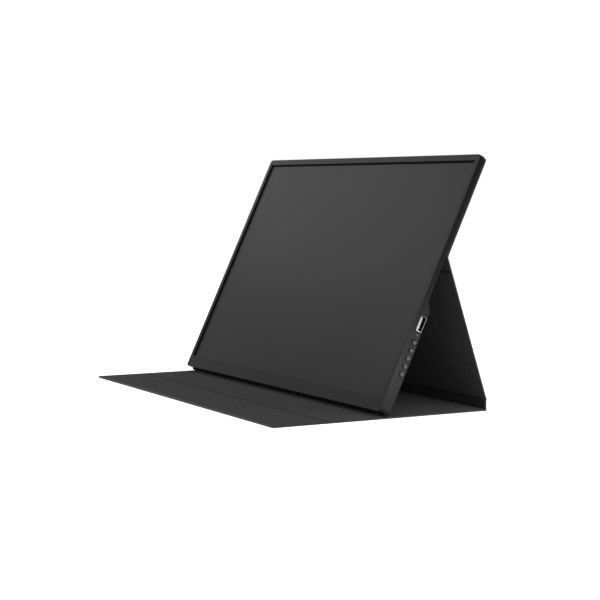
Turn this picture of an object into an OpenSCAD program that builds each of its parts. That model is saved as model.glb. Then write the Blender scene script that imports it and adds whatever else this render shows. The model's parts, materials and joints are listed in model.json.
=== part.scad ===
// Portable monitor standing in its folding cover.
//
// X runs to the viewer's right, Y to the rear and Z up. The origin is the centre of the cover's
// footprint on the table. The cover is a chain of stiff panels: front flap, floor, spine, prop and
// upper panel. The prop and the monitor lean on each other, so the lean of the screen follows from
// the lengths of the panels and from where the foot of the monitor stands.
//
// The monitor is drawn in its own frame: y runs up its slope from the bottom edge, and z is 0 at the
// front face and negative towards the back, so a "depth" is a distance behind the front face.

/* [Monitor] */
// Width of the monitor
monitor_w = 355; // [330:1:380]
// Height of the monitor, up its own slope
monitor_h = 216; // [205:1:235]
// Height of the flat back of the thick lower part
thick_h = 84.5; // [80:0.5:100]
// Height over which the back curves from thick to thin
shoulder_h = 10; // [6:0.5:16]
// Corner radius of the outline
corner_r = 3; // [1.5:0.5:5]
// Radius of the lower back edges
back_r = 0.8; // [0.4:0.1:1.2]
// How far the rubber strip under the monitor stands out
strip_h = 1.3; // [0.9:0.1:2]
// Width of the rubber strip, from front to back
strip_w = 3; // [2:0.1:4]
// Radius of the strip's edges; the monitor stands on the rear one
strip_r = 0.8; // [0.3:0.1:0.9]
// Distance of the strip from the monitor's back
strip_inset = 0.4; // [0.2:0.1:1]
// Distance of the strip's ends from the monitor's sides
strip_end = 1.5; // [0.5:0.5:20]
// Thickness of the rear housing's side walls
side_wall = 1.1; // [1:0.1:1.5]
// Thickness of the rear housing's back wall
back_wall = 0.9; // [0.8:0.1:1.4]

/* [Bezel] */
// Thickness of the bezel, which is also how deep the screen lies
bezel_t = 1.6; // [1.2:0.1:2.2]
// Width of the bezel's sides
bezel_side = 5; // [4:0.1:8]
// Height of the bezel's top strip
bezel_top = 5.2; // [4:0.1:8]
// Height of the bezel's chin
chin_h = 11; // [9:0.5:20]
// Width of the foam strip along the top of the screen
foam_top = 1.2; // [0.6:0.1:2]
// Width of the foam strips along the sides of the screen
foam_side = 0.4; // [0.3:0.1:1]
// Thickness of the foam strips
foam_t = 0.4; // [0.3:0.1:0.8]
// Number of snap hooks on each side of the bezel
side_hooks = 4; // [2:1:6]
// Number of snap hooks along the top of the bezel
top_hooks = 7; // [3:1:10]
// Length of a snap hook along the edge
hook_l = 8; // [5:0.5:12]

/* [Display module] */
// Thickness of the liquid crystal cell with its polarisers
cell_t = 0.8; // [0.6:0.1:1.2]
// Thickness of the stack of diffuser sheets
diffuser_t = 0.3; // [0.2:0.1:0.6]
// Thickness of the light guide plate
guide_t = 0.5; // [0.5:0.1:1]
// Sheet thickness of the steel tray
tray_t = 0.3; // [0.2:0.1:0.5]
// Space between the tray's rim and the housing's side wall
module_gap = 1.2; // [1.2:0.1:2]
// Height of the strip of backlight diodes along the bottom
led_bar_h = 2.6; // [1.6:0.1:3]
// Width of the timing board on the back of the tray
panel_board_w = 220; // [160:5:260]
// Height of the timing board
panel_board_h = 12; // [8:0.5:16]
// Width of the keeper plates that the cover's magnets hold on to
keeper_w = 120; // [60:5:140]
// Height of the keeper plates
keeper_h = 14; // [8:1:20]

/* [Electronics] */
// Thickness of the circuit boards
board_t = 0.8; // [0.6:0.1:1]
// Height of the pads that carry the boards off the back wall
pad_h = 0.2; // [0.2:0.1:0.4]
// Width of the main board
main_board_w = 155; // [130:5:200]
// Width of the side board
side_board_w = 17; // [15:0.5:25]
// Diameter of the heat-staked posts through the boards
stake_d = 1.8; // [1.4:0.1:2.4]
// Width of the flat cables
flex_w = 12; // [6:0.5:16]
// Thickness of the flat cables
flex_t = 0.2; // [0.15:0.05:0.3]
// Side of the main processor
chip_w = 14; // [10:0.5:20]
// Height of the main processor
chip_t = 1.4; // [0.8:0.1:2]

/* [Ports] */
// Sheet thickness of the port shells
shell_t = 0.3; // [0.2:0.05:0.4]
// Clearance round a port
port_clear = 0.15; // [0.1:0.05:0.3]
// Long side of the large port's shell
usb_a_w = 12.4; // [11:0.1:13.2]
// Short side of the large port's shell
usb_a_h = 5.2; // [5:0.1:5.8]
// Length of the large port's shell
usb_a_l = 13; // [11:0.5:15]
// Distance of the large port below the top of the thick part
usb_a_drop = 9.8; // [8:0.1:11]
// Long side of the small reversible ports' shells
usb_c_w = 8.9; // [8.4:0.1:9.4]
// Short side of the small reversible ports' shells
usb_c_h = 3.2; // [3:0.1:3.5]
// Length of the small reversible ports' shells
usb_c_l = 7.4; // [6:0.2:9]
// Long side of the video port's shell
video_w = 11.2; // [10.6:0.1:12]
// Short side of the video port's shell
video_h = 3.2; // [3:0.1:3.8]
// Length of the video port's shell
video_l = 7.8; // [6:0.2:10]
// Outer diameter of the audio jack
jack_d = 5; // [4.8:0.1:5.6]
// Bore of the audio jack
jack_bore = 3.6; // [3.5:0.1:3.8]
// Length of the audio jack
jack_l = 11; // [9:0.5:13]
// Distance of the first left-hand port below the top of the thick part
left_drop = 10.5; // [8:0.5:14]
// Pitch of the left-hand ports
left_pitch = 15; // [13:0.5:16]

/* [Buttons] */
// Diameter of a button
button_d = 3.8; // [3.4:0.1:4.4]
// Gap between a button and its hole
button_gap = 0.5; // [0.2:0.05:0.6]
// How far a button stands out of the side wall
button_proud = 0.9; // [0.5:0.1:1.2]
// Travel of a button
button_travel = 0.4; // [0.2:0.05:0.6]
// Pitch of the buttons
button_pitch = 6.6; // [6.4:0.1:8]
// Distance of the top button below the top of the thick part
button_drop = 25; // [23:0.5:28]
// Distance of the status light below the top of the thick part
light_drop = 18.9; // [18:0.1:20]
// Diameter of the status light
light_d = 1.6; // [1:0.1:2]
// Height of a switch above its board
switch_h = 3; // [2.6:0.1:3.6]
// Width of a switch
switch_w = 4.6; // [4:0.1:5.4]
// Diameter of a switch's plunger
plunger_d = 1.6; // [1.2:0.1:2]

/* [Screws] */
// Number of screws along the bottom
screw_count = 4; // [2:1:6]
// Diameter of a screw's shank
screw_d = 1.6; // [1.4:0.1:2]
// Diameter of a screw's head
screw_head_d = 3.2; // [2.8:0.1:3.4]
// Height of a screw's head
screw_head_h = 0.9; // [0.7:0.1:1.2]
// Length of a screw's shank
screw_l = 4.5; // [3:0.1:5]
// Distance of the outer screws from the monitor's side
screw_inset = 24; // [12:1:40]

/* [Cover] */
// Distance of the cover's sides inside the monitor's
cover_inset = 1; // [0:0.5:6]
// Thickness of the flap, floor, spine and prop panels
panel_t = 1.5; // [1.4:0.1:2.2]
// Thickness of the upper panel, which holds the magnets
upper_t = 2.5; // [2.2:0.1:3.2]
// Thickness of the outer skin
skin_t = 0.35; // [0.25:0.05:0.4]
// Thickness of the inner lining
lining_t = 0.35; // [0.25:0.05:0.4]
// Width of the skin that is turned over the edges
turn_w = 1; // [0.6:0.1:3]
// Radius of the panels' free edges
edge_r = 0.5; // [0.3:0.05:0.6]
// Corner radius of the cover
cover_r = 3; // [1:0.5:6]
// Length of the front flap, from its crease to its free edge
flap_l = 47.2; // [35:0.1:55]
// Length of the floor panel, from the flap's crease to the rear
floor_l = 143.3; // [130:0.1:170]
// Length of the spine, between its two creases
spine_l = 8.8; // [7:0.1:14]
// Length of the prop panel, between its two creases
prop_l = 119.6; // [105:0.1:135]
// Height of the prop's fold up the back of the monitor
fold_h = 131.7; // [120:0.1:145]
// Distance from the spine to the foot of the monitor
foot_setback = 91.1; // [80:0.1:105]
// Gap between the monitor's back and the upper panel
hold_gap = 0.3; // [0.1:0.05:0.5]
// Distance of the upper panel's top edge below the monitor's
top_inset = 0.5; // [0:0.1:3]
// Radius of the pressed crease of each fold
crease_r = 0.7; // [0.5:0.05:0.7]
// Diameter of the disc magnets in the flap
disc_d = 10; // [6:0.5:14]
// Number of disc magnets in the flap
disc_count = 4; // [2:1:6]
// Width of a bar magnet in the upper panel
bar_w = 30; // [15:1:40]
// Height of a bar magnet in the upper panel
bar_h = 8; // [5:0.5:10]

/* [Hidden] */
$fn = 48;
touch = 0.01;         // how far a cut runs past the face it opens
contact_gap = 0.05;   // between pieces of two bodies that rest on each other
slide_gap = 0.15;     // round a piece that is free to slide or to be put in
fold_gap = 0.35;      // between a crease and the panel that turns on it
magnet_t = 0.8;
strip_seat = 0.5;     // how deep the strip is let into the housing

// Depths behind the monitor's front face
cell_z = bezel_t;
diffuser_z = cell_z + cell_t;
guide_z = diffuser_z + diffuser_t;
tray_z = guide_z + guide_t;
bay_z = tray_z + tray_t;
tray_gap = 0.1;
thin_inner_z = bay_z + tray_gap;
thin_t = thin_inner_z + back_wall;
bay_depth = max(usb_a_h, jack_d) + 2 * port_clear;
thick_inner_z = bay_z + bay_depth;
thick_t = thick_inner_z + back_wall;
board_z = thick_inner_z - pad_h - board_t;
switch_z = board_z - switch_h / 2;
bay_mid_z = bay_z + bay_depth / 2;

// Places in the monitor's outline
cover_w = monitor_w - 2 * cover_inset;
inner_x = monitor_w / 2 - side_wall;
inner_top = monitor_h - side_wall;
boss_d = screw_head_d + 1.2;
boss_y = side_wall + slide_gap + boss_d / 2;
tray_x = inner_x - module_gap;
tray_low = boss_y + boss_d / 2 + 0.4;
tray_top = inner_top - module_gap;
sheet_x = tray_x - 2 * tray_t;
sheet_low = tray_low + 2 * tray_t;
sheet_top = tray_top - 2 * tray_t;
guide_low = sheet_low + led_bar_h + slide_gap;
board_x = inner_x - 1.3;
main_low = tray_low + 6;
board_high = thick_h - 2.4;
port_face = 0.1;      // how far a port's rim lies inside the wall's outer face
usb_a_y = thick_h - usb_a_drop;
light_y = thick_h - light_drop;
button_y = [for (n = [0:4]) thick_h - button_drop - n * button_pitch];
side_low = button_y[4] - 5;
left_y = [for (n = [0:3]) thick_h - left_drop - n * left_pitch];
jack_y = left_y[3];
side_x = board_x - side_board_w;
main_x = main_board_w - board_x;
keeper_t = 0.4;
keeper_x = monitor_w / 4 + 4;

// The stand: foot, fold and spine form a triangle of three fixed lengths
rear_y = (flap_l + floor_l) / 2;
crease_y = rear_y - floor_l;
spine_y = rear_y - panel_t / 2;
spine_z = panel_t / 2;
prop_z = spine_z + spine_l;
upper_mid_z = thin_t + hold_gap + upper_t / 2;
foot_up = strip_r - strip_h;              // the foot is the centre of the strip's rear edge
foot_depth = thick_t - strip_inset - strip_r;
foot_z = panel_t + contact_gap + strip_r;
foot_y = spine_y - foot_setback;
fold_run = [fold_h - foot_up, foot_depth - upper_mid_z];
foot_to_fold = norm(fold_run);
foot_to_spine = norm([foot_setback, prop_z - foot_z]);
foot_angle = acos((foot_to_fold ^ 2 + foot_to_spine ^ 2 - prop_l ^ 2) / (2 * foot_to_fold * foot_to_spine));
fold_angle = foot_angle + atan2(prop_z - foot_z, foot_setback);
lean = fold_angle - atan2(fold_run[1], fold_run[0]);
fold_at = [foot_y + foot_to_fold * cos(fold_angle), foot_z + foot_to_fold * sin(fold_angle)];
prop_lean = atan2(fold_at[1] - prop_z, spine_y - fold_at[0]);
monitor_at = [0, foot_y - foot_up * cos(lean) - foot_depth * sin(lean),
              foot_z - foot_up * sin(lean) + foot_depth * cos(lean)];

// Crease ends
panel_end = crease_r + fold_gap;
flap_end = panel_t * 0.8;                 // lets the flap fold past upright
upper_end = max(panel_end, upper_t * 0.6);
upper_high = monitor_h - top_inset - fold_h;

// ---- Places ----

// The monitor's own frame
module on_monitor() translate(monitor_at) rotate([lean, 0, 0]) children();

// Frames of the cover's panels: x along the crease, y along the strip, z towards the lining
module on_floor() translate([0, crease_y, panel_t / 2]) children();
module on_spine() translate([0, spine_y, spine_z]) rotate([90, 0, 0]) children();
module on_prop() translate([0, spine_y, prop_z]) rotate([180 - prop_lean, 0, 0]) children();
module on_upper() on_monitor() translate([0, fold_h, -upper_mid_z]) children();

// A point on the right-hand (side = 1) or left-hand (side = -1) wall, with x pointing inwards
module at_wall(side, y, depth) translate([side * monitor_w / 2, y, -depth])
    mirror([side > 0 ? 1 : 0, 0, 0]) children();

// Every post that holds a board, on the monitor's back wall
module at_stakes() {
    for (x = [8 - board_x, main_x - 6])
        for (y = [main_low + 4, board_high - 3])
            translate([x, y, 0]) children();
    for (y = [side_low + 3, usb_a_y - usb_a_w / 2 - 6])
        translate([side_x + 3, y, 0]) children();
}

// Every screw, at the bottom of the monitor's back
module at_screws() for (n = [0:screw_count - 1])
    translate([(monitor_w / 2 - screw_inset) * (2 * n / (screw_count - 1) - 1), boss_y, 0]) children();

// ---- Shapes ----

// A rectangle from y0 to y1 with corner radius r0 at its low end and r1 at its high end
module outline(w, y0, y1, r0, r1) difference() {
    translate([-w / 2, y0]) square([w, y1 - y0]);
    for (side = [-1, 1]) {
        corner_cut(side * w / 2, y0, -side, 1, r0);
        corner_cut(side * w / 2, y1, -side, -1, r1);
    }
}

// What a corner at x, y loses when it is rounded; dx and dy point into the shape
module corner_cut(x, y, dx, dy, r) if (r > 0) difference() {
    translate([x + dx * (r - touch) / 2, y + dy * (r - touch) / 2]) square(r + touch, center = true);
    translate([x + dx * r, y + dy * r]) circle(r);
}

// A shape drawn in Y and Z becomes a bar along X, w wide
module along_x(w) translate([-w / 2, 0, 0]) rotate([90, 0, 90]) linear_extrude(w) children();

// A round bar along X
module rod_x(r, x0, x1) translate([x0, 0, 0]) rotate([0, 90, 0]) cylinder(r = r, h = x1 - x0);

// A slab between two depths
module layer(z0, z1) translate([0, 0, -z1]) linear_extrude(z1 - z0) children();

// The back of the monitor, as depth over height, from the thick part to the thin one
function shoulder(thick, thin, low) =
    [for (n = [0:16]) [low + shoulder_h * n / 16, -thin - (thick - thin) * (1 + cos(180 * n / 16)) / 2]];

// Side view of the housing, with its foot rounded by r
module side_view(front, thick, thin, low, high, start, r) polygon(concat(
    [[low, -front]],
    [for (n = [0:6]) [low + r * (1 - cos(15 * n)), -thick + r * (1 - sin(15 * n))]],
    shoulder(thick, thin, start),
    [[high, -thin], [high, -front]]));

// A port's shell: a rectangular tube, open at the wall, closed inside
module port_shell(w, h, l) difference() {
    translate([port_face, -w / 2, -h / 2]) cube([l, w, h]);
    translate([port_face - touch, shell_t - w / 2, shell_t - h / 2])
        cube([l - shell_t + touch, w - 2 * shell_t, h - 2 * shell_t]);
}

// A rounded port's shell
module round_shell(w, h, l) difference() {
    round_bar(w, h, port_face, port_face + l);
    round_bar(w - 2 * shell_t, h - 2 * shell_t, port_face - touch, port_face + l - shell_t);
}

// A bar with round long sides, along x
module round_bar(w, h, x0, x1) translate([x0, 0, 0]) rotate([90, 0, 90]) linear_extrude(x1 - x0) {
    square([w - h, h], center = true);
    for (side = [-1, 1]) translate([side * (w - h) / 2, 0]) circle(h / 2);
}

// ---- Cover panels ----

// The closed shape of a panel from y0 to y1; a free end is rounded
module panel_body(t, y0, y1, free0, free1, inset = 0) {
    w = cover_w - 2 * inset;
    low = free0 ? y0 + inset : y0;
    high = free1 ? y1 - inset : y1;
    linear_extrude(t, center = true)
        outline(w, low, high, free0 ? cover_r - inset / 2 : 0, free1 ? cover_r - inset / 2 : 0);
}

// A turned skin: the panel's outer sheet and its rim, with a tray for the board and lining
module panel_skin(t, y0, y1, free0 = false, free1 = false) difference() {
    intersection() {
        panel_body(t, y0, y1, free0, free1);
        translate([0, y1, 0]) rotate([90, 0, 0]) linear_extrude(y1 - y0)
            outline(cover_w, -t / 2, t / 2, edge_r, edge_r);
        if (free0 || free1) along_x(cover_w) difference() {
            translate([y0, -t / 2]) square([y1 - y0, t]);
            for (up = [-1, 1]) {
                if (free0) corner_cut(y0, up * t / 2, 1, -up, edge_r);
                if (free1) corner_cut(y1, up * t / 2, -1, -up, edge_r);
            }
        }
    }
    translate([0, 0, skin_t]) panel_body(t, y0 - (free0 ? 0 : touch), y1 + (free1 ? 0 : touch),
                                         free0, free1, turn_w);
}

// The stiff board of a panel
module panel_board_sheet(t, y0, y1, free0 = false, free1 = false)
    translate([0, 0, (skin_t - lining_t) / 2])
        panel_body(t - skin_t - lining_t, y0, y1, free0, free1, turn_w);

// The lining of a panel
module panel_lining(t, y0, y1, free0 = false, free1 = false)
    translate([0, 0, (t - lining_t) / 2]) panel_body(lining_t, y0, y1, free0, free1, turn_w);

// The pressed fold between two panels, with a leaf to the end of the panel before it
module crease(leaf) {
    w = cover_w - 2 * edge_r;
    rod_x(crease_r, -w / 2, w / 2);
    translate([-w / 2, -leaf, -crease_r / 2]) cube([w, leaf, crease_r]);
}

module flap_skin() color("dimgray") on_floor() panel_skin(panel_t, -flap_l, -flap_end, free0 = true);
module flap_board() color("burlywood") on_floor() difference() {
    panel_board_sheet(panel_t, -flap_l, -flap_end, free0 = true);
    at_discs() cylinder(d = disc_d + 2 * slide_gap, h = panel_t, center = true);
}
module flap_lining() color("#3a3a3c") on_floor() panel_lining(panel_t, -flap_l, -flap_end, free0 = true);
module flap_magnets() color("silver") on_floor() at_discs()
    cylinder(d = disc_d, h = panel_t - skin_t - lining_t - slide_gap, center = true);
module at_discs() for (n = [0:disc_count - 1])
    translate([cover_w * ((n + 0.5) / disc_count - 0.5), -flap_l / 2, (skin_t - lining_t) / 2]) children();
module flap_crease() color("dimgray") on_floor() rotate([0, 0, 180]) crease(panel_end);

module floor_skin() color("dimgray") on_floor() panel_skin(panel_t, panel_end, floor_rear);
module floor_board() color("burlywood") on_floor() panel_board_sheet(panel_t, panel_end, floor_rear);
module floor_lining() color("#3a3a3c") on_floor() panel_lining(panel_t, panel_end, floor_rear);
floor_rear = floor_l - panel_t / 2 - panel_end;
module spine_crease() color("dimgray") translate([0, spine_y, spine_z]) crease(panel_end);

module spine_skin() color("dimgray") on_spine() panel_skin(panel_t, panel_end, spine_l - panel_end);
module spine_board() color("burlywood") on_spine() panel_board_sheet(panel_t, panel_end, spine_l - panel_end);
module spine_lining() color("#3a3a3c") on_spine() panel_lining(panel_t, panel_end, spine_l - panel_end);
module prop_crease() color("dimgray") on_spine() translate([0, spine_l, 0]) crease(panel_end);

module prop_skin() color("dimgray") on_prop() panel_skin(panel_t, panel_end, prop_l - panel_end);
module prop_board() color("burlywood") on_prop() panel_board_sheet(panel_t, panel_end, prop_l - panel_end);
module prop_lining() color("#3a3a3c") on_prop() panel_lining(panel_t, panel_end, prop_l - panel_end);
module fold_crease() color("dimgray") on_prop() translate([0, prop_l, 0]) crease(panel_end);

module upper_skin() color("dimgray") on_upper() panel_skin(upper_t, upper_end, upper_high, free1 = true);
module upper_board() color("burlywood") on_upper() difference() {
    panel_board_sheet(upper_t, upper_end, upper_high, free1 = true);
    at_bars() cube([bar_w + 2 * slide_gap, bar_h + 2 * slide_gap, upper_t], center = true);
}
module upper_lining() color("#3a3a3c") on_upper() panel_lining(upper_t, upper_end, upper_high, free1 = true);
module upper_magnets() color("silver") on_upper() at_bars() cube([bar_w, bar_h, magnet_t], center = true);
module at_bars() for (side = [-1, 1], part = [-1, 1])
    translate([side * keeper_x + part * keeper_w / 4, upper_high / 2, (skin_t - lining_t) / 2]) children();

// ---- Monitor: shells ----

// The opening in the bezel, drawn in by side at both sides and by top at the top
module window(side, top) translate([bezel_side + side - monitor_w / 2, chin_h])
    square([monitor_w - 2 * (bezel_side + side), monitor_h - chin_h - bezel_top - top]);

module front_bezel() color("#4a4a4c") on_monitor() difference() {
    union() {
        layer(0, bezel_t) difference() {
            outline(monitor_w, 0, monitor_h, corner_r, corner_r);
            window(0, 0);
        }
        at_hooks() snap_hook();
        at_screws() translate([0, 0, -boss_end]) cylinder(d = boss_d, h = boss_end - bezel_t / 2);
    }
    at_screws() translate([0, 0, -boss_end - touch]) cylinder(d = screw_d + slide_gap, h = pilot_l);
}
seat_z = thick_t - port_face - screw_head_h;      // where a screw's head seats
boss_end = seat_z - 1.4;
pilot_l = screw_l + 0.4 - 1.4;

// A hook that snaps behind the housing's wall; y points out towards the wall
module snap_hook() translate([-hook_l / 2, slide_gap - module_gap, -bezel_t - hook_z]) {
    cube([hook_l, hook_t, hook_z + bezel_t / 2]);
    cube([hook_l, hook_t + hook_nub, hook_z / 2]);
}
hook_z = 1.3;
hook_nub = 0.3;
hook_t = module_gap - 2 * slide_gap;
hook_pitch = (inner_top - tray_low) / side_hooks;

// Every hook: y points out, and its zero is the inner face of the wall
module at_hooks() {
    for (side = [-1, 1], n = [0:side_hooks - 1])
        translate([side * inner_x, tray_low + hook_pitch * (n + 0.5), 0])
            rotate([0, 0, -side * 90]) children();
    for (n = [0:top_hooks - 1])
        translate([inner_x * (2 * (n + 0.5) / top_hooks - 1), inner_top, 0]) children();
}

// Foam that closes the gap between the bezel and the screen
module screen_foam() color("#0e0e0f") on_monitor() layer(cell_z - foam_t, cell_z) difference() {
    window(0, 0);
    translate([0, -touch]) window(foam_side, foam_top - touch);
}

module rear_housing() color("#3c3c3e") on_monitor() difference() {
    union() {
        difference() {
            housing_body();
            housing_cavity();
        }
        at_stakes() board_stake();
        at_screws() translate([0, 0, -thick_t + back_r])
            cylinder(d = boss_d, h = thick_t - back_r - boss_end);
    }
    at_hooks() translate([-hook_l / 2 - slide_gap, -touch, -bezel_t - hook_z - slide_gap])
        cube([hook_l + 2 * slide_gap, hook_nub + slide_gap, hook_z / 2 + 2 * slide_gap]);
    at_screws() {
        translate([0, 0, -thick_t - touch]) cylinder(d = screw_d + 2 * slide_gap, h = thick_t);
        translate([0, 0, -thick_t - touch])
            cylinder(d = screw_head_d + 2 * slide_gap, h = thick_t - seat_z + touch);
    }
    at_keepers() keeper(slide_gap);
    strip_bar(strip_end - slide_gap, slide_gap);
    port_hole(1, usb_a_y, bay_mid_z, usb_a_w, usb_a_h);
    for (y = button_y) at_wall(1, y, switch_z) rod_x(button_d / 2 + button_gap, -touch, side_wall + touch);
    at_wall(1, light_y, switch_z) rod_x(light_d / 2 + 0.1, -touch, side_wall + touch);
    for (y = [left_y[0], left_y[1]]) at_wall(-1, y, board_z - usb_c_h / 2)
        round_bar(usb_c_w + 2 * port_clear, usb_c_h + 2 * port_clear, -touch, side_wall + touch);
    port_hole(-1, left_y[2], board_z - video_h / 2, video_w, video_h);
    at_wall(-1, jack_y, bay_mid_z) rod_x(jack_d / 2 + port_clear, -touch, side_wall + touch);
}

module port_hole(side, y, depth, w, h) at_wall(side, y, depth)
    translate([-touch, -w / 2 - port_clear, -h / 2 - port_clear])
        cube([side_wall + 2 * touch, w + 2 * port_clear, h + 2 * port_clear]);

module housing_body() intersection() {
    along_x(monitor_w) side_view(bezel_t, thick_t, thin_t, 0, monitor_h, thick_h, back_r);
    layer(0, thick_t) outline(monitor_w, 0, monitor_h, corner_r, corner_r);
    translate([0, monitor_h, -thick_t]) rotate([90, 0, 0]) linear_extrude(monitor_h)
        outline(monitor_w, 0, thick_t, back_r, 0);
}

module foot_strip() color("#18181a") on_monitor() strip_bar(strip_end, 0);

// The rubber strip, or the groove for it with a gap on each side
module strip_bar(end, gap) along_x(monitor_w - 2 * end)
    translate([0, -thick_t + strip_inset + strip_w / 2]) rotate(90)
        outline(strip_w + 2 * gap, -strip_seat, strip_h, 0, strip_r);

module housing_cavity() intersection() {
    along_x(monitor_w) side_view(0, thick_inner_z, thin_inner_z, side_wall, inner_top,
                                 thick_h - back_wall / 2, 0.4);
    layer(0, thick_t) outline(2 * inner_x, side_wall, inner_top, corner_r - side_wall, corner_r - side_wall);
}

// A pad, a post through the board and the melted head that holds it down
module board_stake() translate([0, 0, -thick_inner_z - touch]) {
    cylinder(d = 2 * stake_d, h = pad_h + touch);
    cylinder(d = stake_d, h = pad_h + board_t + touch);
    translate([0, 0, pad_h + board_t + touch]) cylinder(d = 1.6 * stake_d, h = 0.6);
}

module keeper_plates() color("silver") on_monitor() at_keepers() keeper(0);
module keeper(gap) cube([keeper_w + 2 * gap, keeper_h + 2 * gap, 2 * keeper_t + gap], center = true);
module at_keepers() for (side = [-1, 1])
    translate([side * keeper_x, fold_h + upper_high / 2, -thin_inner_z]) intersection() {
        children();
        translate([0, 0, -thick_t / 2]) cube([monitor_w, monitor_h, thick_t], center = true);
    }

module housing_screws() color("#2a2a2c") on_monitor() at_screws() difference() {
    union() {
        translate([0, 0, -thick_t + port_face]) cylinder(d = screw_head_d, h = screw_head_h);
        translate([0, 0, -seat_z - touch]) cylinder(d = screw_d, h = screw_l + touch);
    }
    for (turn = [0, 90]) rotate([0, 0, turn])
        translate([0, 0, -thick_t + port_face]) cube([screw_head_d * 0.6, 0.4, screw_head_h], center = true);
}

// ---- Monitor: display module ----

module lcd_cell() color("#303032") on_monitor() sheet(cell_z, diffuser_z, sheet_low);
module diffuser_sheets() color("white") on_monitor() sheet(diffuser_z, guide_z, guide_low);
module light_guide() color("lightcyan") on_monitor() sheet(guide_z, tray_z, guide_low);
module sheet(z0, z1, low) layer(z0, z1) translate([-sheet_x, low]) square([2 * sheet_x, sheet_top - low]);

module backlight_bar() color("khaki") on_monitor() layer(diffuser_z, tray_z)
    translate([-sheet_x, sheet_low]) square([2 * sheet_x, led_bar_h]);

module panel_tray() color("lightgray") on_monitor() {
    layer(tray_z, bay_z) tray_outline(0);
    layer(bezel_t, bay_z) difference() {
        tray_outline(0);
        tray_outline(tray_t);
    }
}
module tray_outline(inset) translate([inset - tray_x, tray_low + inset])
    square([2 * (tray_x - inset), tray_top - tray_low - 2 * inset]);

module panel_board() color("darkgreen") on_monitor() layer(bay_z, bay_z + board_t)
    translate([-panel_board_w / 2, tray_low + 2]) square([panel_board_w, panel_board_h]);

// ---- Monitor: electronics ----

module main_board() color("darkgreen") on_monitor() difference() {
    layer(board_z, board_z + board_t)
        translate([-board_x, main_low]) square([main_board_w, board_high - main_low]);
    stake_holes();
    at_wall(-1, jack_y, bay_mid_z) translate([0, -jack_d / 2 - port_clear, -jack_d])
        cube([jack_l + port_face + port_clear, jack_d + 2 * port_clear, 2 * jack_d]);
}

module stake_holes() at_stakes() translate([0, 0, -thick_t])
    cylinder(d = stake_d + 2 * slide_gap, h = thick_t - bay_z);

module board_parts() color("#1c1c1e") on_monitor()
    translate([main_x - main_board_w / 2, (main_low + board_high) / 2, -board_z]) {
        translate([-chip_w / 2, 0, 0]) cube([chip_w, chip_w, chip_t]);
        for (n = [0:3]) translate([chip_w * (n + 1), -chip_w / 2, 0])
            cube([chip_w / 2, chip_w / 2, chip_t / 2]);
        for (n = [0:2]) translate([-chip_w * (n + 1.2), 0, 0]) cylinder(d = chip_w / 3, h = chip_t);
    }

module side_board() color("darkgreen") on_monitor() difference() {
    layer(board_z, board_z + board_t)
        translate([side_x, side_low]) square([side_board_w, board_high - side_low]);
    stake_holes();
    at_wall(1, usb_a_y, bay_mid_z) translate([0, -usb_a_w / 2 - port_clear, -usb_a_h])
        cube([usb_a_l + port_face + port_clear, usb_a_w + 2 * port_clear, 2 * usb_a_h]);
}

switch_x = side_wall + 1.6;    // from the wall's outer face to the front of a switch
switch_l = 3.6;
module tact_switches() color("#202022") on_monitor() for (y = button_y) at_wall(1, y, switch_z) difference() {
    translate([switch_x, -switch_w / 2, -switch_h / 2]) cube([switch_l, switch_w, switch_h]);
    rod_x(plunger_d / 2 + slide_gap, 0, switch_x + plunger_reach + button_travel + slide_gap);
}

module link_flex() color("white") on_monitor() layer(thick_inner_z - flex_t, thick_inner_z)
    translate([main_x - flex_tuck, (side_low + board_high) / 2 - flex_w / 2])
        square([side_x - main_x + 2 * flex_tuck, flex_w]);
flex_tuck = 1;

panel_flex_x = -main_board_w / 2;
module panel_flex() color("orange") on_monitor() translate([panel_flex_x, 0, 0]) along_x(flex_w) polygon([
    [flex_low, -flex_z0], [flex_low + 4, -flex_z0],
    [flex_high, flex_t - board_z], [flex_high + 4, flex_t - board_z],
    [flex_high + 4, -board_z], [flex_high - flex_t, -board_z],
    [flex_low + 4 - flex_t, -flex_z0 - flex_t], [flex_low, -flex_z0 - flex_t]]);
flex_z0 = bay_z + board_t;
flex_low = tray_low + panel_board_h - 3;
flex_high = flex_low + 9;

module usb_a_shell() color("gainsboro") on_monitor()
    at_wall(1, usb_a_y, bay_mid_z) port_shell(usb_a_w, usb_a_h, usb_a_l);

// The tongue lies on the side nearer the screen
module usb_a_tongue() color("whitesmoke") on_monitor() at_wall(1, usb_a_y, bay_mid_z) {
    w = usb_a_w - 2 * shell_t;
    h = usb_a_h - 2 * shell_t;
    translate([port_face + usb_a_l - shell_t - tongue_root, -w / 2, -h / 2]) cube([tongue_root, w, h]);
    translate([port_face + 1, -w / 2 + 0.6, h / 2 - 0.5 - h * 0.38])
        cube([usb_a_l - shell_t - tongue_root - 1 + touch, w - 1.2, h * 0.38]);
}
tongue_root = 3;

module status_light() color("lightgray") on_monitor() at_wall(1, light_y, switch_z) {
    rod_x(light_d / 2, port_face / 2, switch_x + 1);
    translate([switch_x, -light_d, -switch_h / 2]) cube([2 * light_d, 2 * light_d, switch_h]);
}

module usb_c_shells() color("gainsboro") on_monitor() for (y = [left_y[0], left_y[1]])
    at_wall(-1, y, board_z - usb_c_h / 2) round_shell(usb_c_w, usb_c_h, usb_c_l);

module usb_c_tongues() color("#202022") on_monitor() for (y = [left_y[0], left_y[1]])
    at_wall(-1, y, board_z - usb_c_h / 2) {
        root = port_face + usb_c_l - shell_t;
        round_bar(usb_c_w - 2 * shell_t, usb_c_h - 2 * shell_t, root - 1.5, root);
        translate([port_face + 0.8, -usb_c_w / 2 + 1.2, -0.35])
            cube([usb_c_l - shell_t - 2, usb_c_w - 2.4, 0.7]);
    }

module video_shell() color("gainsboro") on_monitor() at_wall(-1, left_y[2], board_z - video_h / 2)
    port_shell(video_w, video_h, video_l);

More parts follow.
